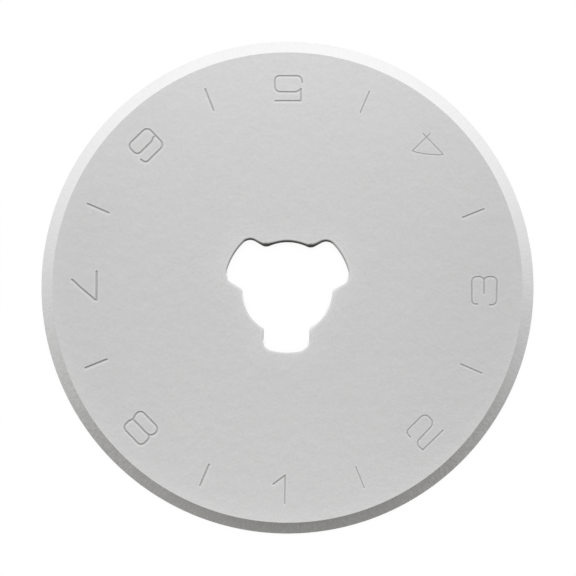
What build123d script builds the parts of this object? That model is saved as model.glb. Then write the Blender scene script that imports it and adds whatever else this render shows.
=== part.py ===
from build123d import *
import math
import os

# Round cutting blade for a hand-held rotary cutter: one disc of hardened tool
# steel, ground on both faces, double bevelled to a keen edge, with a keyed hub
# hole and a ring of position numerals struck into one face.
# Millimetres. The origin is on the disc's axis at mid-thickness, +Z is the
# normal of the marked face, and one lobe of the hub hole points along -Y.

# ---------------------------------------------------------------- disc
edge_diameter = 28.0        # keen edge to keen edge
thickness = 0.30            # ground sheet
bevel_width = 0.623         # radial width of each ground bevel

# ---------------------------------------------------------------- hub hole
hub_radius = 2.575          # round part that sits on the cutter's hub
lobe_count = 3
lobe_first_angle = 270.0    # degrees, one lobe points along -Y
lobe_tip_radius = 3.576     # from the axis to the lobe's curved end
lobe_width = 2.596          # between a lobe's parallel sides
lobe_corner_radius = 0.574  # inner corners at the lobe's end
tooth_corner_radius = 0.478 # steel corners between a lobe and the round part
lip_radius = 0.15           # punched round-over of the hole on the marked face

# ---------------------------------------------------------------- marking ring
ring_offset_x = -0.157      # the ring was struck slightly off the axis
ring_offset_y = -0.076
ring_turn = 0.482           # degrees, against the lobes
ring_radius = 11.552        # reference circle through the marks
tick_length = 1.290
numeral_step = 45.0         # degrees between numerals, tick half way
groove_width = 0.146        # at the face
groove_depth = 0.014
stamp_tilt = 0.024          # degrees about Y: a little deeper on the -X side

# Numerals as single strokes, in a frame with its origin on the reference
# circle, y towards the axis and x to the numeral's right. Each point is
# (x, y, corner radius) in hundredths of a millimetre.
NUMERALS = {
    1: [[(-50, 41, 0), (15.7, 90.5, 0), (16, -67.7, 0)]],
    2: [[(-78, 51.2, 0), (-76, 90, 23), (78.8, 92, 34), (77, 11.8, 36),
         (-79.5, 5.5, 27), (-79.4, -50.4, 0), (83.6, -50.6, 0)]],
    3: [[(-74.5, 57, 0), (-74, 90, 22), (81.5, 92, 30), (82, 43, 22),
         (69.4, 22, 0), (82, 2, 20), (82.5, -51.5, 28), (-76.5, -50.2, 28),
         (-78.5, -12, 0)],
        [(-13, 21, 0), (69.4, 21.6, 0)]],
    4: [[(54.6, 87.6, 0), (33, 78.5, 30), (-7, 50, 0), (-42.7, 18.5, 0),
         (-70, -6, 12), (-82, -23.6, 0), (82.5, -23.9, 0)],
        [(54.6, 87.6, 0), (54.6, -54.6, 0)]],
    5: [[(67.7, 88, 0), (-78.5, 86.2, 0), (-77.4, 18.8, 0), (-65.4, 29, 12),
         (-46, 36.6, 20), (70.6, 37, 30), (71.7, -54, 26), (-80, -54.9, 28),
         (-83.7, -17, 0)]],
    6: [[(74, 59.8, 0), (68.3, 93.5, 24), (-79.7, 93, 31), (-81.7, -49, 31),
         (74, -50.4, 29), (73.4, 28.4, 28), (-43, 28.5, 0)],
        [(-43, 28.5, 0), (-62, 19, 12), (-80.4, 18.8, 0)]],
    7: [[(-82.5, 84.8, 0), (80.5, 85.8, 0), (77.6, 74, 20), (61.5, 56.9, 0),
         (16.5, 1.2, 0), (-34.2, -54.8, 0)]],
    8: [[(-68.9, 21.5, 0), (-78, 46, 14), (-78, 86.5, 28), (75.7, 86.5, 31),
         (75.7, 20.5, 34), (28.5, 16.8, 0)],
        [(28.5, 16.8, 0), (-28.5, 17.9, 0), (-68.9, 17.3, 0)],
        [(-68.9, 21.5, 0), (-78, -5, 18), (-78, -56.9, 29), (73.4, -58, 29),
         (73.4, 17.6, 24), (46, 18.6, 0)]],
}

face_radius = edge_diameter / 2 - bevel_width
half = thickness / 2


# ---------------------------------------------------------------- the disc
with BuildPart() as disc:
    with BuildSketch(Plane.XZ):
        with BuildLine():
            Polyline((0, -half), (face_radius, -half), (edge_diameter / 2, 0),
                     (face_radius, half), (0, half), close=True)
        make_face()
    revolve(axis=Axis.Z)


# ---------------------------------------------------------------- the hub hole
def inner_corner(vertex):
    return math.hypot(vertex.X, vertex.Y) < lobe_tip_radius - 0.4


with BuildPart() as hole:
    with BuildSketch(Plane.XY.offset(-half - 0.2)) as outline:
        Circle(hub_radius)
        for i in range(lobe_count):
            turn = lobe_first_angle + i * 360.0 / lobe_count
            with BuildSketch(mode=Mode.PRIVATE) as lobe:
                Circle(lobe_tip_radius)
                with Locations((lobe_tip_radius / 2, 0)):
                    Rectangle(lobe_tip_radius + 1.0, lobe_width,
                              mode=Mode.INTERSECT)
            add(lobe.sketch.rotate(Axis.Z, turn))
        fillet([v for v in outline.vertices() if inner_corner(v)],
               tooth_corner_radius)
        fillet([v for v in outline.vertices()
                if math.hypot(v.X, v.Y) > lobe_tip_radius - 0.05],
               lobe_corner_radius)
    extrude(amount=thickness + 0.4)

body = disc.part - hole.part
lip = [e for e in body.edges()
       if e.center().Z > half - 1e-4
       and math.hypot(e.center().X, e.center().Y) < lobe_tip_radius + 0.5]
body = fillet(lip, lip_radius)


# ---------------------------------------------------------------- the marks
def rounded(points):
    """A stroke's points with each rounded corner as short straight steps, cut
    into chains wherever it turns a sharp corner."""
    chains, chain = [], []
    last = len(points) - 1
    for i, (x, y, r) in enumerate(points):
        here = Vector(x, y) / 100
        if i in (0, last):
            chain.append(here)
            continue
        before = Vector(*points[i - 1][:2]) / 100 - here
        after = Vector(*points[i + 1][:2]) / 100 - here
        a, b = before.normalized(), after.normalized()
        turn = math.pi - math.acos(max(-1, min(1, a.dot(b))))
        if r == 0 or turn < math.radians(3):
            chain.append(here)
            if turn > math.radians(40):
                chains.append(chain)
                chain = [here]
            continue
        reach = r / 100 * math.tan(turn / 2)
        if reach > 0.98 * min(before.length, after.length):
            reach = 0.98 * min(before.length, after.length)
        radius = reach / math.tan(turn / 2)
        middle = here + (a + b).normalized() * (radius / math.cos(turn / 2))
        start, end = here + a * reach, here + b * reach
        steps = max(2, math.ceil(math.degrees(turn) / 15))
        side = 1 if a.cross(b).Z < 0 else -1
        first = math.atan2((start - middle).Y, (start - middle).X)
        for k in range(steps + 1):
            angle = first + side * turn * k / steps
            p = middle + Vector(math.cos(angle), math.sin(angle)) * radius
            if not chain or (p - chain[-1]).length > 1e-4:
                chain.append(p)
    chains.append(chain)
    return chains


def groove(chain):
    """A V-shaped cutter along a chain of points, with mitred bends and
    faceted round ends. It stands proud of the face, so that its sloping
    sides cut the face in clean lines."""
    rise = 0.008
    half_top = groove_width / 2 * (1 + rise / groove_depth)
    top, bottom = half + rise, half - groove_depth

    def at(p, z):
        return Vector(p.X, p.Y, z)

    left, right = [], []
    for i, p in enumerate(chain):
        into = (chain[i] - chain[i - 1]).normalized() if i else None
        out = (chain[i + 1] - chain[i]).normalized() if i < len(chain) - 1 else None
        d_in, d_out = into or out, out or into
        n_in, n_out = Vector(-d_in.Y, d_in.X), Vector(-d_out.Y, d_out.X)
        n = (n_in + n_out).normalized()
        n = n * (half_top / n.dot(n_in))
        left.append(p + n)
        right.append(p - n)

    def cap(p, d):
        """Round end beyond p, from its right rail to its left rail."""
        base = math.atan2(d.Y, d.X)
        return [p + Vector(math.cos(base + math.radians(t)),
                           math.sin(base + math.radians(t))) * half_top
                for t in (-54, -18, 18, 54)]

    start_dir = (chain[0] - chain[1]).normalized()
    end_dir = (chain[-1] - chain[-2]).normalized()
    rim_end = [right[-1]] + cap(chain[-1], end_dir) + [left[-1]]
    rim_start = [left[0]] + cap(chain[0], start_dir) + [right[0]]

    faces = []
    for i in range(len(chain) - 1):
        lo0, lo1 = at(chain[i], bottom), at(chain[i + 1], bottom)
        faces.append([lo0, lo1, at(left[i + 1], top), at(left[i], top)])
        faces.append([lo1, lo0, at(right[i], top), at(right[i + 1], top)])
    for rim, p in ((rim_end, chain[-1]), (rim_start, chain[0])):
        for q0, q1 in zip(rim, rim[1:]):
            faces.append([at(p, bottom), at(q0, top), at(q1, top)])
    lid = right + rim_end[1:-1] + left[::-1] + rim_start[1:-1]
    faces.append([at(p, top) for p in lid])
    made = [Face(Wire.make_polygon(f, close=True)) for f in faces]
    return Solid(Shell(made))


def on_ring(chain, angle):
    """From a mark's own frame to its place on the face."""
    t = math.radians(angle)
    out = Vector(math.cos(t), math.sin(t))
    right = Vector(out.Y * -1, out.X)
    origin = Vector(ring_offset_x, ring_offset_y) + out * ring_radius
    return [origin + right * p.X - out * p.Y for p in chain]


cutters = []
for i in range(8):
    angle = -90 + numeral_step * i + ring_turn
    for stroke in NUMERALS[i + 1]:
        for chain in rounded(stroke):
            cutters.append(groove(on_ring(chain, angle)))
    tick = [Vector(0, -tick_length / 2), Vector(0, tick_length / 2)]
    cutters.append(groove(on_ring(tick, angle + numeral_step / 2)))

tilt_axis = Axis((0, 0, half), (0, 1, 0))
cutters = [c.rotate(tilt_axis, -stamp_tilt) for c in cutters]
for c in cutters:
    body = body - c

blade = body.solids()[0] if len(body.solids()) == 1 else body
blade.label = "blade"
print("solids", len(body.solids()), "valid", blade.is_valid,
      "volume", round(blade.volume, 4), "faces", len(blade.faces()),
      "cutters", len(cutters))

os.makedirs("parts", exist_ok=True)
export_step(blade, "parts/blade.step")
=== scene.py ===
import math

import bpy
import numpy as np
from mathutils import Matrix, Vector
from mathutils.geometry import delaunay_2d_cdt


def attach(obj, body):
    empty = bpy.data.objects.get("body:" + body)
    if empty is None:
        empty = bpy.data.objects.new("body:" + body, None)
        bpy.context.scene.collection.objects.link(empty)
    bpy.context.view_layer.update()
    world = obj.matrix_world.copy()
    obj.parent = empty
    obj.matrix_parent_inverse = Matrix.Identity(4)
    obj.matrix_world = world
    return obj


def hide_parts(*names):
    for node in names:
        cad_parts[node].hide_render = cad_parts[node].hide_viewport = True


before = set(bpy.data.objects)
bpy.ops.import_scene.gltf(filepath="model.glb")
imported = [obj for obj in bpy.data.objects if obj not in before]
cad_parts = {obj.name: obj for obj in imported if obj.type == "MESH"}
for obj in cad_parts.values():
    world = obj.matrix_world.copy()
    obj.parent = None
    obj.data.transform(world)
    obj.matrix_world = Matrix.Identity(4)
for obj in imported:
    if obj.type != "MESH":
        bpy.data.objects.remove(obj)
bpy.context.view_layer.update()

# Sizes in millimetres, as in the part. The mesh is turned into metres when it
# is made.
MM = 0.001
EDGE_R = 14.0
HALF = 0.15
FACE_R = 13.377
HOLLOW = 0.0020             # how far the ground bevel dips below a straight line

HUB_R = 2.575
LOBE_TIP = 3.576
LOBE_WIDTH = 2.596
LOBE_CORNER = 0.574
TOOTH_CORNER = 0.478
LOBE_ANGLES = (270.0, 30.0, 150.0)

RING_X, RING_Y, RING_TURN = -0.157, -0.076, 0.482
RING_R = 11.552
TICK = 1.290
GROOVE_HALF = 0.073
GROOVE_DEPTH = 0.0140
# How hard each numeral, and the tick after it, was struck.
STRUCK = {1: (0.97, 0.52), 2: (0.72, 0.88), 3: (0.82, 1.04), 4: (0.47, 0.73),
          5: (1.01, 1.12), 6: (1.24, 1.29), 7: (1.42, 1.56), 8: (1.22, 1.18)}

NUMERALS = {
    1: [[(-50, 41, 0), (15.7, 90.5, 0), (16, -67.7, 0)]],
    2: [[(-78, 51.2, 0), (-76, 90, 23), (78.8, 92, 34), (77, 11.8, 36),
         (-79.5, 5.5, 27), (-79.4, -50.4, 0), (83.6, -50.6, 0)]],
    3: [[(-74.5, 57, 0), (-74, 90, 22), (81.5, 92, 30), (82, 43, 22),
         (69.4, 22, 0), (82, 2, 20), (82.5, -51.5, 28), (-76.5, -50.2, 28),
         (-78.5, -12, 0)],
        [(-13, 21, 0), (69.4, 21.6, 0)]],
    4: [[(54.6, 87.6, 0), (33, 78.5, 30), (-7, 50, 0), (-42.7, 18.5, 0),
         (-70, -6, 12), (-82, -23.6, 0), (82.5, -23.9, 0)],
        [(54.6, 87.6, 0), (54.6, -54.6, 0)]],
    5: [[(67.7, 88, 0), (-78.5, 86.2, 0), (-77.4, 18.8, 0), (-65.4, 29, 12),
         (-46, 36.6, 20), (70.6, 37, 30), (71.7, -54, 26), (-80, -54.9, 28),
         (-83.7, -17, 0)]],
    6: [[(74, 59.8, 0), (68.3, 93.5, 24), (-79.7, 93, 31), (-81.7, -49, 31),
         (74, -50.4, 29), (73.4, 28.4, 28), (-43, 28.5, 0)],
        [(-43, 28.5, 0), (-62, 19, 12), (-80.4, 18.8, 0)]],
    7: [[(-82.5, 84.8, 0), (80.5, 85.8, 0), (77.6, 74, 20), (61.5, 56.9, 0),
         (16.5, 1.2, 0), (-34.2, -54.8, 0)]],
    8: [[(-68.9, 21.5, 0), (-78, 46, 14), (-78, 86.5, 28), (75.7, 86.5, 31),
         (75.7, 20.5, 34), (28.5, 16.8, 0)],
        [(28.5, 16.8, 0), (-28.5, 17.9, 0), (-68.9, 17.3, 0)],
        [(-68.9, 21.5, 0), (-78, -5, 18), (-78, -56.9, 29), (73.4, -58, 29),
         (73.4, 17.6, 24), (46, 18.6, 0)]],
}


# ------------------------------------------------------------ the camera
# Straight down, from 400 mm. It is rolled a little, because the blade lies
# turned a little in the picture.
CAMERA_HEIGHT = 400.0
FRAME_WIDTH = 32.777
ROLL = math.radians(1.229)

lens = bpy.data.cameras.new("camera")
lens.type = "PERSP"
lens.sensor_fit = "HORIZONTAL"
lens.sensor_width = 36.0
lens.lens = 36.0 * CAMERA_HEIGHT / FRAME_WIDTH
lens.clip_start = 0.01
lens.clip_end = 10.0
camera = bpy.data.objects.new("camera", lens)
bpy.context.scene.collection.objects.link(camera)
turn = Matrix.Rotation(ROLL, 3, "Z")
aim = turn @ Vector((0.0285, -0.0256, 0.0))
camera.location = Vector((aim.x, aim.y, CAMERA_HEIGHT)) * MM
camera.rotation_euler = (0.0, 0.0, ROLL)
bpy.context.scene.camera = camera


# ------------------------------------------------------------ the hub hole
def half_lobe(steps):
    """From the middle of a lobe's end, with the lobe along +X, to half way
    along the round part, at 60 degrees: points, normals into the steel and
    distances along the outline."""
    h, r, p = LOBE_WIDTH / 2, LOBE_CORNER, TOOTH_CORNER
    xl, yl = math.sqrt((LOBE_TIP - r) ** 2 - (h - r) ** 2), h - r
    xc, yc = math.sqrt((HUB_R + p) ** 2 - (h + p) ** 2), h + p
    a0, g = math.atan2(yl, xl), math.atan2(yc, xc)
    quarter = math.pi / 2

    def arc(cx, cy, radius, start, sweep, sign):
        def at(u):
            c, s = math.cos(start + sweep * u), math.sin(start + sweep * u)
            return (cx + radius * c, cy + radius * s, sign * c, sign * s)
        return radius * abs(sweep), at

    runs = [arc(0, 0, LOBE_TIP, 0, a0, 1),
            arc(xl, yl, r, a0, quarter - a0, 1),
            (xl - xc, lambda u: (xl + (xc - xl) * u, h, 0.0, 1.0)),
            arc(xc, yc, p, -quarter, g - quarter, -1),
            arc(0, 0, HUB_R, g, math.pi / 3 - g, 1)]
    total = sum(length for length, _ in runs)
    out = []
    for k in range(steps + 1):
        s = total * k / steps
        left = s
        for length, at in runs:
            if left <= length or at is runs[-1][1]:
                out.append(at(min(1.0, left / length)) + (s,))
                break
            left -= length
    return out


def hole_outline(steps=90):
    """The closed outline, counter-clockwise: points, normals into the steel,
    and the distance of each point from the middle of its lobe's end."""
    half = half_lobe(steps)
    lobe = [(x, -y, nx, -ny, s) for x, y, nx, ny, s in half[:0:-1]] + half[:-1]
    rows = []
    for angle in sorted(LOBE_ANGLES):
        c, s = math.cos(math.radians(angle)), math.sin(math.radians(angle))
        for x, y, nx, ny, d in lobe:
            rows.append((c * x - s * y, s * x + c * y,
                         c * nx - s * ny, s * nx + c * ny, d))
    a = np.array(rows)
    return a[:, 0:2], a[:, 2:4], a[:, 4]


outline, into_steel, along = hole_outline()
COUNT = len(outline)


def ripple(theta, seed, terms):
    """A smooth closed wobble round the outline, about -1 to 1."""
    rng = np.random.default_rng(seed)
    total = np.zeros_like(theta)
    for n in terms:
        total += rng.uniform(0.5, 1.0) * np.sin(n * theta + rng.uniform(0, 6.283))
    return total / (0.55 * len(terms) ** 0.5 * 1.6)


theta = np.arange(COUNT) / COUNT * 2 * math.pi

# The punch draws the marked face down round the hole. It stood very slightly
# askew: the roll is widest where the wall is towards +Y or -Y, and on the two
# corners towards +Y, and tightest towards +X and -X. It is a little tighter
# at the lobes' ends. Faced by the direction from the hole into the steel, in
# degrees: the roll's width, and a painted highlight on the roll, strongest where
# it faces 200 to 300 degrees, with a faint painted shade where it is below 1.
facing = np.degrees(np.arctan2(into_steel[:, 1], into_steel[:, 0])) % 360
ROLL_FACING = ((0, 0.45, 0.98), (23, 0.75, 1.0), (35, 0.80, 1.0), (59, 0.86, 1.02),
               (75, 0.94, 1.0), (90, 1.0, 1.0), (105, 1.0, 1.0), (119, 1.06, 1.0),
               (143, 0.85, 1.0), (155, 0.78, 1.0), (179, 0.50, 0.95),
               (200, 0.60, 1.19), (206, 0.63, 1.24), (217, 0.95, 1.24),
               (234, 0.97, 1.22), (255, 1.12, 1.15), (269, 1.17, 1.14),
               (283, 1.14, 1.12), (299, 0.75, 1.10), (306, 0.73, 1.09),
               (320, 0.72, 1.07), (334, 0.60, 1.05), (347, 0.52, 0.99),
               (360, 0.45, 0.98))
at, width, lip_painted_light = zip(*ROLL_FACING)
roll_painted_light = np.interp(facing, at, lip_painted_light)


def bump_at(middle, half_width):
    gap = (facing - middle + 180) % 360 - 180
    return np.clip(1 - (gap / half_width) ** 2, 0, 1)


blend = np.clip((along - 0.5) / 1.4, 0, 1)
blend = blend * blend * (3 - 2 * blend)
corner = np.exp(-((along - 2.29) / 0.30) ** 2)
roll = ((0.85 + 0.15 * blend) * np.interp(facing, at, width)
        + 0.58 * corner * bump_at(90, 60))
roll *= 1 - 0.27 * corner * bump_at(208, 30)
roll *= 1 + 0.02 * ripple(theta, 11, (5, 8, 13, 21))
# The other corners are drawn down gently, and further out.
sag = corner * (1 - bump_at(90, 60))

# The section of the roll: how steep it is, in degrees, at distances out from
# the wall of the hole. Past the round there is a faint dish.
ROLL_AT = (0.0, 0.05, 0.09, 0.115, 0.135, 0.152, 0.17, 0.20, 0.24, 0.28)
ROLL_STEEP = (24.5, 24.0, 21.5, 15.5, 8.6, 3.2, 1.3, 0.7, 0.3, 0.0)
# Where the wall is askew towards -Y the round eases into the face.
SOFT_AT = (0.0, 0.04, 0.06, 0.084, 0.113, 0.141, 0.169, 0.198, 0.225, 0.25, 0.28)
SOFT_STEEP = (24.5, 22.0, 16.5, 10.4, 7.0, 4.2, 2.8, 1.8, 1.1, 0.5, 0.0)
soft = np.clip(1.6 * np.maximum(bump_at(222, 34), bump_at(302, 26)), 0, 1)
# The punch burnished the steep part, and the steel stretched beyond it is a
# little duller.
ROLL_TONE = (1.04, 1.03, 1.00, 0.94, 0.91, 0.96, 1.02, 1.03, 1.01, 1.0)
SAG_AT = (0.0, 0.06, 0.10, 0.14, 0.17, 0.20, 0.23, 0.26, 0.28)
SAG_STEEP = (3.3, 3.0, 2.7, 2.4, 2.2, 1.9, 1.4, 0.6, 0.0)


def section_of(at, steep, count=700):
    """Depth below the face at distances out from the wall."""
    t = np.linspace(0, at[-1], count)
    slope = np.tan(np.radians(np.interp(t, at, steep)))
    step = (slope[1:] + slope[:-1]) / 2 * (t[1] - t[0])
    depth = np.concatenate([np.cumsum(step[::-1])[::-1], [0.0]])
    return t, depth


roll_section = section_of(ROLL_AT, ROLL_STEEP)
soft_section = section_of(SOFT_AT, SOFT_STEEP)
sag_section = section_of(SAG_AT, SAG_STEEP)


def drawn_down(out):
    """Depth below the face at distances out from each point of the outline."""
    return (np.interp(out / roll, *roll_section) * roll * (1 - soft)
            + np.interp(out / roll, *soft_section) * roll * soft
            + np.interp(out, *sag_section) * sag)


# ------------------------------------------------------------ mesh helpers
# Each vertex has a tone, which its steel's colour is multiplied by: the steel's
# own tone, with painted shade and painted highlights beside the marks and on
# the roll round the hole. DISHED is the face's own steel where it is no longer
# quite flat, beside a mark.
# The marked face is made a little brighter round the hole: by how much, at
# distances from the wall in mm.
HOLE_BRIGHTENING_AT = (0.0, 0.14, 0.22, 0.28, 0.34, 0.40, 0.46, 0.57, 0.68, 0.80, 0.97,
             1.14, 1.40)
HOLE_BRIGHTENING = (0.0, 0.010, 0.038, 0.052, 0.050, 0.043, 0.037, 0.028, 0.023, 0.018,
          0.012, 0.008, 0.0)
verts, tones, faces, kinds = [], [], [], []
FACE, BEVEL, GROOVE, LIP, WALL, DISHED = range(6)


def ring(xy, z, tone=1.0):
    start = len(verts)
    z = np.broadcast_to(z, (len(xy),))
    verts.extend((float(x), float(y), float(h)) for (x, y), h in zip(xy, z))
    tones.extend(float(v) for v in np.broadcast_to(tone, (len(xy),)))
    return list(range(start, start + len(xy)))


def skin(a, b, kind):
    """Quads from ring a to ring b. Going round the section from the top face
    outwards, the edge, the lower face inwards and up the hole, they all face
    out of the steel."""
    n = len(a)
    for i in range(n):
        j = (i + 1) % n
        faces.append((a[i], b[i], b[j], a[j]))
        kinds.append(kind)


def circle(radius, n=720):
    t = np.arange(n) / n * 2 * math.pi
    return np.stack([radius * np.cos(t), radius * np.sin(t)], 1)


def nearest(points, a, b):
    """Distance of each point to the nearest of the segments a-b, and which
    segment that is."""
    best = np.full(len(points), np.inf)
    which = np.zeros(len(points), int)
    d = b - a
    dd = np.maximum((d * d).sum(1), 1e-18)
    for s in range(0, len(points), 2000):
        p = points[s:s + 2000, None, :]
        u = np.clip(((p - a) * d).sum(2) / dd, 0, 1)
        gap = p - a - u[..., None] * d
        far = np.sqrt((gap * gap).sum(2))
        which[s:s + 2000] = far.argmin(1)
        best[s:s + 2000] = far.min(1)
    return best, which


def inside(points, loop):
    """Even-odd test of points against a closed loop."""
    x, y = points[:, 0][:, None], points[:, 1][:, None]
    x0, y0 = loop[:, 0], loop[:, 1]
    x1, y1 = np.roll(x0, -1), np.roll(y0, -1)
    crosses = (y0 > y) != (y1 > y)
    with np.errstate(divide="ignore", invalid="ignore"):
        at = x0 + (y - y0) * (x1 - x0) / (y1 - y0)
    return (np.logical_and(crosses, x < at).sum(1) % 2).astype(bool)


# ------------------------------------------------------------ the marks
def rounded(points, step=6.0):
    """A stroke's points with its corners rounded, cut into chains at each
    sharp corner."""
    chains, chain = [], []
    last = len(points) - 1
    pts = [np.array(p[:2], float) / 100 for p in points]
    for i, here in enumerate(pts):
        r = points[i][2] / 100
        if i in (0, last):
            chain.append(here)
            continue
        before, after = pts[i - 1] - here, pts[i + 1] - here
        lb, la = np.linalg.norm(before), np.linalg.norm(after)
        a, b = before / lb, after / la
        bend = math.pi - math.acos(max(-1.0, min(1.0, float(a @ b))))
        if r == 0 or bend < math.radians(3):
            chain.append(here)
            if bend > math.radians(40):
                chains.append(chain)
                chain = [here]
            continue
        reach = min(r * math.tan(bend / 2), 0.98 * min(lb, la))
        radius = reach / math.tan(bend / 2)
        mid = (a + b) / np.linalg.norm(a + b)
        middle = here + mid * (radius / math.cos(bend / 2))
        start = here + a * reach - middle
        side = 1 if a[0] * b[1] - a[1] * b[0] < 0 else -1
        first = math.atan2(start[1], start[0])
        steps = max(3, math.ceil(math.degrees(bend) / step))
        for k in range(steps + 1):
            t = first + side * bend * k / steps
            p = middle + np.array([math.cos(t), math.sin(t)]) * radius
            if not chain or np.linalg.norm(p - chain[-1]) > 1e-4:
                chain.append(p)
    chains.append(chain)
    return [np.array(c) for c in chains]


def on_ring(chain, angle):
    t = math.radians(angle)
    out = np.array([math.cos(t), math.sin(t)])
    right = np.array([-out[1], out[0]])
    origin = np.array([RING_X, RING_Y]) + out * RING_R
    return origin + chain[:, :1] * right - chain[:, 1:] * out


def divided(chain, longest=0.06):
    """The same chain with its long runs divided."""
    out = [chain[0]]
    for a, b in zip(chain, chain[1:]):
        n = max(1, math.ceil(np.linalg.norm(b - a) / longest))
        out.extend(a + (b - a) * (k / n) for k in range(1, n + 1))
    return np.array(out)


def struck_along(numeral, chain):
    """How hard a numeral was struck at each point of a chain. Numeral 1 was
    struck hardest at its short stroke, and lightly towards its foot."""
    if numeral != 1:
        return np.full(len(chain), STRUCK[numeral][0])
    down = np.where(chain[:, 0] > 0.156, 0.905 - chain[:, 1], 0.0)
    return STRUCK[1][0] * np.interp(down, (0.0, 0.8), (1.17, 0.69))


marks = []
for i in range(8):
    angle = -90 + 45 * i + RING_TURN
    local = [divided(c) for stroke in NUMERALS[i + 1] for c in rounded(stroke)]
    marks.append(([on_ring(c, angle) for c in local],
                  [struck_along(i + 1, c) for c in local]))
    tick = on_ring(divided(np.array([[0, -TICK / 2], [0, TICK / 2]])), angle + 22.5)
    marks.append(([tick], [np.full(len(tick), STRUCK[i + 1][1])]))


def between(strikes):
    """The mean strike of each segment of a mark's chains."""
    return np.concatenate([(s[:-1] + s[1:]) / 2 for s in strikes])


def half_width(struck):
    return GROOVE_HALF * np.sqrt(struck)


def loop_at(chain, share, struck):
    """The closed line round a chain, at a share of the groove's half-width."""
    width = (half_width(struck) * share)[:, None]
    d = np.diff(chain, axis=0)
    d /= np.linalg.norm(d, axis=1)[:, None]
    n = np.stack([-d[:, 1], d[:, 0]], 1)
    before, after = np.vstack([n[:1], n]), np.vstack([n, n[-1:]])
    m = before + after
    m /= np.linalg.norm(m, axis=1)[:, None]
    m /= (m * before).sum(1)[:, None]
    sides = 7 if share > 0.6 else 5

    def cap(p, way, w):
        base = math.atan2(way[1], way[0])
        turns = [base - math.pi / 2 + math.pi * k / (sides + 1)
                 for k in range(1, sides + 1)]
        return [p + w * np.array([math.cos(t), math.sin(t)]) for t in turns]

    right, left = chain - m * width, chain + m * width
    return np.array(list(right) + cap(chain[-1], d[-1], width[-1])
                    + list(left[::-1]) + cap(chain[0], -d[0], width[0]))


# The groove is a V with a round bottom. The face beside it is very slightly
# drawn down. Its tone is darker down the groove, partly its struck finish and
# partly painted shade in the recess, with a painted highlight on the face
# along its edges.
LEVELS = (0.22, 0.5, 0.78, 1.0, 1.12, 1.4, 1.8, 2.3)
DISH = 0.0009
# Painted shade in the groove and a painted highlight beside it, by share of the half-width.
GROOVE_SHADE_AT = (0.0, 0.35, 0.7, 1.0, 1.12, 1.4, 1.8, 2.3)
GROOVE_SHADE_AND_HIGHLIGHT = (0.68, 0.70, 0.82, 0.985, 1.045, 1.065, 1.03, 1.0)


def groove_depth(share, struck):
    v = np.where(share < 0.22, 0.89 - 0.5 * share * share / 0.22, 1 - share)
    dish = np.clip(1 - share / 2.3, 0, 1) ** 2
    return (GROOVE_DEPTH * np.maximum(v, 0) + DISH * dish) * struck


seg_a = np.vstack([c[:-1] for chains, _ in marks for c in chains])
seg_b = np.vstack([c[1:] for chains, _ in marks for c in chains])
seg_struck = np.concatenate([between(strikes) for _, strikes in marks])

lines, line_edges = [], []


def keep_line(points, keep, closed, first):
    """Adds the kept points, and the edges between neighbours that are both
    kept, to the lines that the face is cut along. A point within 0.005 mm of
    one that the same mark already has takes that one's place."""
    index = np.full(len(points), -1)
    for k in np.flatnonzero(keep):
        had = np.array(lines[first:]).reshape(-1, 2)
        gap = np.hypot(*(had - points[k]).T) if len(had) else np.array([])
        if len(gap) and gap.min() < 0.005:
            index[k] = first + int(gap.argmin())
        else:
            index[k] = len(lines)
            lines.append(points[k])
    count = len(points)
    for k in range(count if closed else count - 1):
        i, j = index[k], index[(k + 1) % count]
        if i >= 0 and j >= 0 and i != j:
            line_edges.append((int(i), int(j)))


for chains, strikes in marks:
    ma = np.vstack([c[:-1] for c in chains])
    mb = np.vstack([c[1:] for c in chains])
    first = len(lines)
    for chain, struck in zip(chains, strikes):
        keep_line(chain, np.ones(len(chain), bool), False, first)
        for share in LEVELS:
            loop = loop_at(chain, share, struck)
            away, which = nearest(loop, ma, mb)
            away = away / half_width(between(strikes)[which])
            keep_line(loop, away >= share * 0.985, True, first)
line_points = np.array(lines)


# ------------------------------------------------------------ flat faces
def grid_points(hole_loop, clear_of=None):
    """Points spread over a flat face, so that its triangles are well shaped."""
    out = []
    radius = FACE_R - 0.16
    k = 0
    while radius > HUB_R:
        n = max(24, int(round(2 * math.pi * radius / 0.34)))
        t = (np.arange(n) + 0.5 * (k % 2)) / n * 2 * math.pi
        out.append(np.stack([radius * np.cos(t), radius * np.sin(t)], 1))
        radius -= 0.30
        k += 1
    p = np.vstack(out)
    nxt = np.roll(hole_loop, -1, axis=0)
    p = p[~inside(p, hole_loop)]
    p = p[nearest(p, hole_loop, nxt)[0] > 0.12]
    if clear_of is not None:
        p = p[nearest(p, *clear_of)[0] > 0.25]
        # Even rings round the hole, where the face's tone changes.
        nxt = np.roll(outline, -1, axis=0)
        p = [p[nearest(p, outline, nxt)[0] > 1.18]]
        for k, out in enumerate((0.36, 0.46, 0.57, 0.67, 0.77, 0.88, 1.0, 1.13)):
            q = (outline + into_steel * out)[k % 4::5]
            q = q[nearest(q, outline, nxt)[0] > 0.985 * out]
            p.append(q[nearest(q, hole_loop, np.roll(hole_loop, -1, axis=0))[0] > 0.07])
        p = np.vstack(p)
    return p


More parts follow.
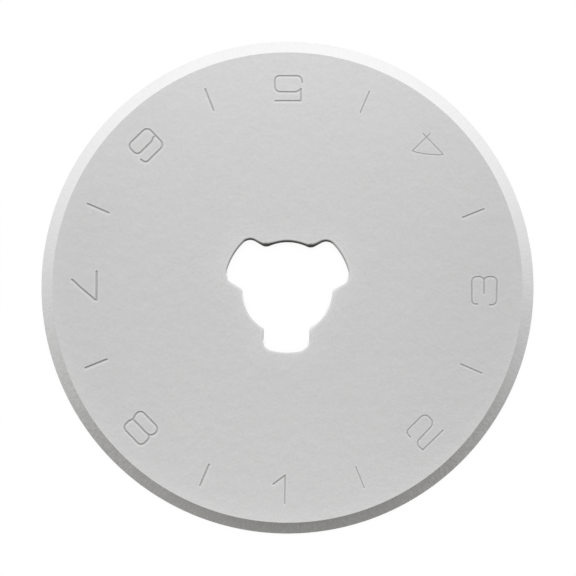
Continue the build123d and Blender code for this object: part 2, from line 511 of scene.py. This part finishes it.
def flat_face(outer, inner, z, up, extra=None, extra_edges=()):
    """Triangles between the ring at the bevel and the ring at the hole, cut
    along the lines of the marks where there are any."""
    o_xy = np.array([verts[i][:2] for i in outer])
    i_xy = np.array([verts[i][:2] for i in inner])
    grid = grid_points(i_xy, (seg_a, seg_b) if extra is not None else None)
    parts = [o_xy, i_xy, grid] + ([extra] if extra is not None else [])
    points = np.vstack(parts)
    no, ni, ng = len(o_xy), len(i_xy), len(grid)
    edges = [(k, (k + 1) % no) for k in range(no)]
    edges += [(no + k, no + (k + 1) % ni) for k in range(ni)]
    edges += [(no + ni + ng + a, no + ni + ng + b) for a, b in extra_edges]
    co, _, tris, source, _, _ = delaunay_2d_cdt(
        [Vector((float(x), float(y))) for x, y in points], edges, [], 0, 1e-6)
    co = np.array([(v.x, v.y) for v in co])
    depth, tone, share = np.zeros(len(co)), np.ones(len(co)), np.full(len(co), 9.0)
    if extra is not None:
        away, which = nearest(co, seg_a, seg_b)
        struck = seg_struck[which]
        share = away / half_width(struck)
        depth = groove_depth(share, struck)
        depth[depth < 2e-6] = 0.0
        # Painted shade down the groove, partly its struck finish, and a painted highlight on
        # the face along its edges.
        tone = np.interp(share, GROOVE_SHADE_AT, GROOVE_SHADE_AND_HIGHLIGHT)
        gap = nearest(co, outline, np.roll(outline, -1, axis=0))[0]
        tone *= 1 + np.interp(gap, HOLE_BRIGHTENING_AT, HOLE_BRIGHTENING)
    place = {}
    for k, (x, y) in enumerate(co):
        ids = [s for s in source[k] if s < no + ni]
        if ids:
            place[k] = outer[ids[0]] if ids[0] < no else inner[ids[0] - no]
        else:
            place[k] = len(verts)
            verts.append((float(x), float(y), z - float(depth[k])))
            tones.append(float(tone[k]))
    middle = np.array([co[list(t)].mean(0) for t in tris])
    drop = inside(middle, i_xy) | (np.hypot(*middle.T) > FACE_R)
    for t, gone in zip(tris, drop):
        if gone or len(t) != 3:
            continue
        t = list(t)
        (ax, ay), (bx, by), (cx, cy) = co[t[0]], co[t[1]], co[t[2]]
        if ((bx - ax) * (cy - ay) - (by - ay) * (cx - ax) > 0) != up:
            t.reverse()
        faces.append(tuple(place[k] for k in t))
        near = max(share[k] for k in t)
        kinds.append(GROOVE if near < 1.02 else DISHED if near < 2.35 else FACE)


# ------------------------------------------------------------ the section
# Both bevels, from the marked face's shoulder to the edge and back under it.
def bevel_z(u):
    return HALF * (1 - u) - HOLLOW * 4 * u * (1 - u)


shares = (0.0, 0.06, 0.16, 0.28, 0.4, 0.52, 0.64, 0.76, 0.87, 0.95, 1.0)
radii = [FACE_R + (EDGE_R - FACE_R) * u for u in shares]
top_rings = [ring(circle(r), bevel_z(u)) for r, u in zip(radii, shares)]
low_rings = [ring(circle(r), -bevel_z(u))
             for r, u in list(zip(radii, shares))[-2::-1]]
for a, b in zip(top_rings, top_rings[1:]):
    skin(a, b, BEVEL)
section = [top_rings[-1]] + low_rings
for a, b in zip(section, section[1:]):
    skin(a, b, BEVEL)

# The wall of the hole, from the lower face up: a torn zone that flares a
# little, the smooth sheared zone, then the roll into the marked face.
lip_z = HALF - drawn_down(np.zeros(COUNT))
tear = -0.045 + 0.012 * ripple(theta, 5, (3, 7, 12, 19, 31, 44))
wall = []
for k in range(7):
    u = k / 6
    z = -HALF + (tear + HALF) * u
    rough = 0.0022 * ripple(theta, 40 + k, (17, 29, 43, 61, 83)) * (0 < k < 6)
    flare = 0.016 * (1 - u) ** 1.3 + rough
    wall.append(ring(outline + into_steel * flare[:, None]
                     if np.ndim(flare) else outline + into_steel * flare, z))
for u in (0.25, 0.5, 0.75, 0.93):
    wall.append(ring(outline, tear + (lip_z - tear) * u))
for a, b in zip(wall, wall[1:]):
    skin(a, b, WALL)

lip = [wall[-1]]
reach = np.maximum(roll, 0.9)
for t in (0.0, 0.003, 0.010, 0.018, 0.027, 0.037, 0.048, 0.058, 0.068, 0.078,
          0.088, 0.097, 0.106, 0.115, 0.124, 0.133, 0.142, 0.151, 0.161,
          0.172, 0.185, 0.20, 0.22, 0.24, 0.26, 0.28):
    out = reach * t
    tone = (np.interp(out / roll, ROLL_AT, ROLL_TONE)
            * (1 + np.interp(out, HOLE_BRIGHTENING_AT, HOLE_BRIGHTENING))
            * (1 - 0.026 * np.clip((out - 0.14) / 0.10, 0, 1)))
    # The painted highlight by facing is kept to the roll's steep part and fades out beyond it.
    painted_light_fade = np.clip(1.6 - out / roll / 0.10, 0, 1)
    lip.append(ring(outline + into_steel * out[:, None], HALF - drawn_down(out),
                    tone * (1 + (roll_painted_light - 1) * painted_light_fade)))
for a, b in zip(lip, lip[1:]):
    skin(a, b, LIP)

flat_face(top_rings[0], lip[-1], HALF, True, line_points, line_edges)
flat_face(low_rings[-1], wall[0], -HALF, False)


# ------------------------------------------------------------ materials
def nodes_of(material):
    material.use_nodes = True
    tree = material.node_tree
    tree.nodes.clear()
    return tree


def node(tree, kind, **settings):
    n = tree.nodes.new(kind)
    for key, value in settings.items():
        setattr(n, key, value)
    return n


def link(tree, a, b):
    tree.links.new(a, b)


def noise(tree, vector, scale, detail=2.0, rough=0.5, distortion=0.0):
    n = node(tree, "ShaderNodeTexNoise")
    n.inputs["Scale"].default_value = scale
    n.inputs["Detail"].default_value = detail
    n.inputs["Roughness"].default_value = rough
    n.inputs["Distortion"].default_value = distortion
    link(tree, vector, n.inputs["Vector"])
    return n.outputs["Fac"]


def math_node(tree, operation, a, b=None):
    n = node(tree, "ShaderNodeMath", operation=operation)
    for k, value in enumerate((a, b)):
        if value is None:
            continue
        if isinstance(value, (int, float)):
            n.inputs[k].default_value = value
        else:
            link(tree, value, n.inputs[k])
    return n.outputs[0]


def spread(tree, value, low, high):
    """Maps a 0-1 value to low-high."""
    n = node(tree, "ShaderNodeMapRange")
    n.inputs["From Min"].default_value = 0.0
    n.inputs["From Max"].default_value = 1.0
    n.inputs["To Min"].default_value = low
    n.inputs["To Max"].default_value = high
    link(tree, value, n.inputs["Value"])
    return n.outputs["Result"]


def grey(tree, value):
    n = node(tree, "ShaderNodeCombineColor")
    for k in range(3):
        link(tree, value, n.inputs[k])
    return n.outputs["Color"]


def steel(name, base, base_spread, rough, rough_spread, layers,
          radial=False, painted_light_field=None, swing=None):
    """A ground steel finish. Each layer is (feature size in mm, detail,
    height of its bumps in mm); the first one also varies tone and gloss, and
    swing says by how much more or less from place to place. All but the
    radial one are multiplied by the tone of the mesh, which carries painted
    shade and painted highlights, and where a field of painted light is given,
    it multiplies the tone too."""
    m = bpy.data.materials.new(name)
    tree = nodes_of(m)
    out = node(tree, "ShaderNodeOutputMaterial")
    shader = node(tree, "ShaderNodeBsdfPrincipled")
    shader.inputs["Metallic"].default_value = 1.0
    link(tree, shader.outputs["BSDF"], out.inputs["Surface"])
    place = node(tree, "ShaderNodeTexCoord").outputs["Object"]
    if radial:
        # Round the disc and out along the radius, so that marks can run
        # across the bevel without a seam.
        parts = node(tree, "ShaderNodeSeparateXYZ")
        link(tree, place, parts.inputs[0])
        flat = node(tree, "ShaderNodeCombineXYZ")
        link(tree, parts.outputs["X"], flat.inputs["X"])
        link(tree, parts.outputs["Y"], flat.inputs["Y"])
        size = node(tree, "ShaderNodeVectorMath", operation="LENGTH")
        link(tree, flat.outputs[0], size.inputs[0])
        unit = node(tree, "ShaderNodeVectorMath", operation="NORMALIZE")
        link(tree, flat.outputs[0], unit.inputs[0])
        wide = node(tree, "ShaderNodeVectorMath", operation="SCALE")
        wide.inputs["Scale"].default_value = EDGE_R * MM
        link(tree, unit.outputs[0], wide.inputs[0])
        along_r = math_node(tree, "MULTIPLY", size.outputs["Value"], 0.5)
        lift = node(tree, "ShaderNodeCombineXYZ")
        link(tree, along_r, lift.inputs["Z"])
        joined = node(tree, "ShaderNodeVectorMath", operation="ADD")
        link(tree, wide.outputs[0], joined.inputs[0])
        link(tree, lift.outputs[0], joined.inputs[1])
        streaks = joined.outputs[0]
    else:
        streaks = place

    size_mm, detail, height = layers[0]
    first = noise(tree, streaks, 1000.0 / size_mm, detail, 0.55)
    broad = noise(tree, streaks, 1000.0 / (size_mm * 22), 1.0, 0.5)
    mixed = math_node(tree, "ADD", math_node(tree, "MULTIPLY", first, 0.8),
                      math_node(tree, "MULTIPLY", broad, 0.2))
    if swing:
        apart = math_node(tree, "MULTIPLY", math_node(tree, "SUBTRACT", mixed, 0.5),
                          swing(tree, place))
        mixed = math_node(tree, "ADD", apart, 0.5)
    tone = spread(tree, mixed, base - base_spread, base + base_spread)
    # Painted light across the face, brighter and duller by place as the light falls.
    if painted_light_field:
        tone = math_node(tree, "MULTIPLY", tone, painted_light_field(tree, place))
    if not radial:
        # The mesh's tone: painted shade and painted highlights by the marks and round the hole,
        # and the steel's own tone.
        mesh_tone_and_painted_light = node(tree, "ShaderNodeAttribute", attribute_name="tone")
        tone = math_node(tree, "MULTIPLY", tone, mesh_tone_and_painted_light.outputs["Fac"])
    link(tree, grey(tree, tone), shader.inputs["Base Color"])
    link(tree, spread(tree, mixed, rough + rough_spread, rough - rough_spread),
         shader.inputs["Roughness"])

    normal = None
    for k, (size_mm, detail, height) in enumerate(layers):
        source = streaks if k == 0 or radial else place
        height_map = first if k == 0 else noise(
            tree, place if k else source, 1000.0 / size_mm, detail, 0.6)
        bump = node(tree, "ShaderNodeBump")
        bump.inputs["Strength"].default_value = 1.0
        bump.inputs["Distance"].default_value = height * MM
        link(tree, height_map, bump.inputs["Height"])
        if normal is not None:
            link(tree, normal, bump.inputs["Normal"])
        normal = bump.outputs["Normal"]
    link(tree, normal, shader.inputs["Normal"])
    return m


def face_painted_light(tree, place):
    """Painted light on the face: a little brighter towards +Y and -Y than
    along the middle, a little duller towards +X, and brighter again just
    inside the bevel, most of all towards -Y, as the light falls on it."""
    parts = node(tree, "ShaderNodeSeparateXYZ")
    link(tree, place, parts.inputs[0])
    x, y = parts.outputs["X"], parts.outputs["Y"]
    yy = math_node(tree, "MULTIPLY", math_node(tree, "MULTIPLY", y, y), 430.0)
    xx = math_node(tree, "MULTIPLY", math_node(tree, "MULTIPLY", x, x), -300.0)
    lean = math_node(tree, "ADD", math_node(tree, "MULTIPLY", x, -1.1),
                     math_node(tree, "MULTIPLY", y, 0.75))
    total = math_node(tree, "ADD", math_node(tree, "ADD", yy, xx), lean)
    flat = node(tree, "ShaderNodeCombineXYZ")
    link(tree, x, flat.inputs["X"])
    link(tree, y, flat.inputs["Y"])
    size = node(tree, "ShaderNodeVectorMath", operation="LENGTH")
    link(tree, flat.outputs[0], size.inputs[0])
    share = math_node(tree, "MULTIPLY", size.outputs["Value"], 1 / (FACE_R * MM))
    rim = math_node(tree, "MULTIPLY", math_node(tree, "POWER", share, 20.0), 0.036)
    rim = math_node(tree, "MULTIPLY", rim, math_node(
        tree, "ADD", math_node(tree, "MULTIPLY", y, -76.0), 1.0))
    return math_node(tree, "ADD", math_node(tree, "ADD", total, rim), 1.0)


def bevel_swing(tree, place):
    """The bevel's grain shows more towards -Y."""
    parts = node(tree, "ShaderNodeSeparateXYZ")
    link(tree, place, parts.inputs[0])
    return math_node(tree, "ADD", math_node(
        tree, "MULTIPLY", parts.outputs["Y"], -45.0), 1.5)


finishes = {
    FACE: steel("ground_face", 0.567, 0.030, 0.36, 0.03,
                [(0.19, 2.0, 0.0017), (0.70, 2.0, 0.0072)], painted_light_field=face_painted_light),
    BEVEL: steel("ground_bevel", 0.592, 0.060, 0.28, -0.08,
                 [(0.13, 2.0, 0.0014), (0.05, 2.0, 0.0002)], radial=True,
                 swing=bevel_swing),
    GROOVE: steel("struck_groove", 0.572, 0.03, 0.38, 0.05,
                  [(0.03, 2.0, 0.0006)], painted_light_field=face_painted_light),
    LIP: steel("rolled_lip", 0.582, 0.012, 0.22, 0.03,
               [(0.08, 3.0, 0.0005)]),
    WALL: steel("sheared_wall", 0.45, 0.05, 0.42, 0.08,
                [(0.05, 3.0, 0.0015), (0.15, 2.0, 0.001)]),
}


# ------------------------------------------------------------ the blade
mesh = bpy.data.meshes.new("blade_steel")
mesh.from_pydata([(x * MM, y * MM, z * MM) for x, y, z in verts], [], faces)
for kind in range(5):
    mesh.materials.append(finishes[kind])
kinds = np.array(kinds, np.int32)
mesh.polygons.foreach_set("material_index", np.where(kinds == DISHED, FACE, kinds))
mesh.polygons.foreach_set("use_smooth", kinds != FACE)
mesh.attributes.new("tone", "FLOAT", "POINT")
mesh.attributes["tone"].data.foreach_set("value", np.array(tones, np.float32))
mesh.update()

edge_ring = set(top_rings[-1])
sharp = np.zeros(len(mesh.edges), bool)
for k, e in enumerate(mesh.edges):
    a, b = e.vertices
    if a in edge_ring and b in edge_ring:
        sharp[k] = True
mesh.attributes.new("sharp_edge", "BOOLEAN", "EDGE")
mesh.attributes["sharp_edge"].data.foreach_set("value", sharp)
mesh.validate()
mesh.update()

blade = bpy.data.objects.new("blade_steel", mesh)
bpy.context.scene.collection.objects.link(blade)
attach(blade, "root")
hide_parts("blade")


# ------------------------------------------------------------ the floor
floor_mesh = bpy.data.meshes.new("floor")
size = 3.0
floor_mesh.from_pydata([(-size, -size, -HALF * MM), (size, -size, -HALF * MM),
                        (size, size, -HALF * MM), (-size, size, -HALF * MM)],
                       [], [(0, 1, 2, 3)])
floor_material = bpy.data.materials.new("pale_floor")
tree = nodes_of(floor_material)
out = node(tree, "ShaderNodeOutputMaterial")
shader = node(tree, "ShaderNodeBsdfPrincipled")
shader.inputs["Base Color"].default_value = (0.10, 0.10, 0.10, 1.0)
shader.inputs["Roughness"].default_value = 0.9
shader.inputs["Specular IOR Level"].default_value = 0.0
shader.inputs["Emission Color"].default_value = (1.0, 1.0, 1.0, 1.0)
shader.inputs["Emission Strength"].default_value = 0.915
link(tree, shader.outputs["BSDF"], out.inputs["Surface"])
floor_mesh.materials.append(floor_material)
floor = bpy.data.objects.new("floor", floor_mesh)
bpy.context.scene.collection.objects.link(floor)


# ------------------------------------------------------------ the light
# One large soft light all round, brightest towards +Y and falling off
# towards -Y, as a light tent with its lamps behind the blade gives.
world = bpy.data.worlds.new("soft_light")
bpy.context.scene.world = world
world.use_nodes = True
tree = world.node_tree
tree.nodes.clear()
out = node(tree, "ShaderNodeOutputWorld")
background = node(tree, "ShaderNodeBackground")
link(tree, background.outputs[0], out.inputs["Surface"])
where = node(tree, "ShaderNodeTexCoord").outputs["Generated"]
parts = node(tree, "ShaderNodeSeparateXYZ")
link(tree, where, parts.inputs[0])
up_down = math_node(tree, "ADD", math_node(tree, "MULTIPLY", parts.outputs["Y"], 0.5), 0.5)
ramp = node(tree, "ShaderNodeValToRGB")
link(tree, up_down, ramp.inputs["Fac"])
TOP = 2.0
stops = [(-1.0, 0.50), (-0.90, 0.36), (-0.82, 0.13), (-0.76, 0.035),
         (-0.64, 0.035), (-0.57, 0.21), (-0.454, 0.556), (-0.393, 0.438),
         (-0.321, 0.410), (-0.227, 0.62), (-0.117, 0.839), (0.0, 1.018),
         (0.117, 1.286), (0.227, 1.418), (0.321, 1.478), (0.393, 1.530),
         (0.454, 1.670), (0.56, 1.63), (0.74, 1.43), (0.87, 1.20), (1.0, 1.06)]
elements = ramp.color_ramp.elements
while len(elements) > 1:
    elements.remove(elements[-1])
for k, (position, value) in enumerate(stops):
    e = elements[0] if k == 0 else elements.new(0.5 + position / 2)
    e.position = 0.5 + position / 2
    # The dark side is very slightly warm.
    warm = 1.0 if position > -0.2 else 0.6 if position > -0.25 else 0.0
    v = value / TOP
    e.color = (v * (1.012 - 0.012 * warm), v * (0.998 + 0.002 * warm),
               v * (0.974 + 0.026 * warm), 1.0)
link(tree, ramp.outputs["Color"], background.inputs["Color"])
# The lower side is dimmer towards +X, and the upper side towards -X.
across = math_node(tree, "MULTIPLY", parts.outputs["X"], parts.outputs["Y"])
below = math_node(tree, "MULTIPLY", parts.outputs["X"],
                  math_node(tree, "MINIMUM", parts.outputs["Y"], 0.0))
lean = math_node(tree, "ADD", math_node(tree, "MULTIPLY", across, 0.14),
                 math_node(tree, "MULTIPLY", below, 0.52))
lean = math_node(tree, "ADD", lean,
                 math_node(tree, "MULTIPLY", parts.outputs["X"], -0.045))
# Level with the blade and above it, the light falls off far out to either side.
x = parts.outputs["X"]
x2 = math_node(tree, "MULTIPLY", x, x)
x3 = math_node(tree, "MULTIPLY", x2, x)
x4 = math_node(tree, "MULTIPLY", x2, x2)
sides = math_node(tree, "ADD", math_node(tree, "MULTIPLY", x2, 0.30),
                  math_node(tree, "MULTIPLY", x4, -0.96))
sides = math_node(tree, "ADD", sides, math_node(tree, "MULTIPLY", x3, -0.08))
sides = math_node(tree, "ADD", sides, math_node(
    tree, "MULTIPLY", x3, math_node(
        tree, "MULTIPLY", math_node(tree, "MAXIMUM", parts.outputs["Y"], 0.0), 0.66)))
# It falls off too towards the tent's upper corners, mostly the right-hand one.
both = math_node(tree, "MULTIPLY", x, math_node(tree, "MAXIMUM", parts.outputs["Y"], 0.0))
corner_fall = math_node(tree, "ADD", math_node(tree, "MULTIPLY", both, -2.5), -1.5)
corner_fall = math_node(tree, "MULTIPLY", math_node(tree, "MULTIPLY", both, both), corner_fall)
sides = math_node(tree, "ADD", sides, corner_fall)
upper = node(tree, "ShaderNodeMapRange")
upper.inputs["From Min"].default_value = -0.40
upper.inputs["From Max"].default_value = -0.05
upper.inputs["To Min"].default_value = 0.0
upper.inputs["To Max"].default_value = 1.0
link(tree, parts.outputs["Y"], upper.inputs["Value"])
sides = math_node(tree, "ADD", math_node(tree, "MULTIPLY", sides, upper.outputs["Result"]), 1.0)
whole = math_node(tree, "MULTIPLY", math_node(tree, "ADD", lean, 1.0), sides)
link(tree, math_node(tree, "MULTIPLY", whole, TOP * 1.03), background.inputs["Strength"])

scene = bpy.context.scene
scene.view_settings.view_transform = "Standard"
scene.view_settings.look = "None"
scene.view_settings.exposure = 0.0
scene.view_settings.gamma = 1.0
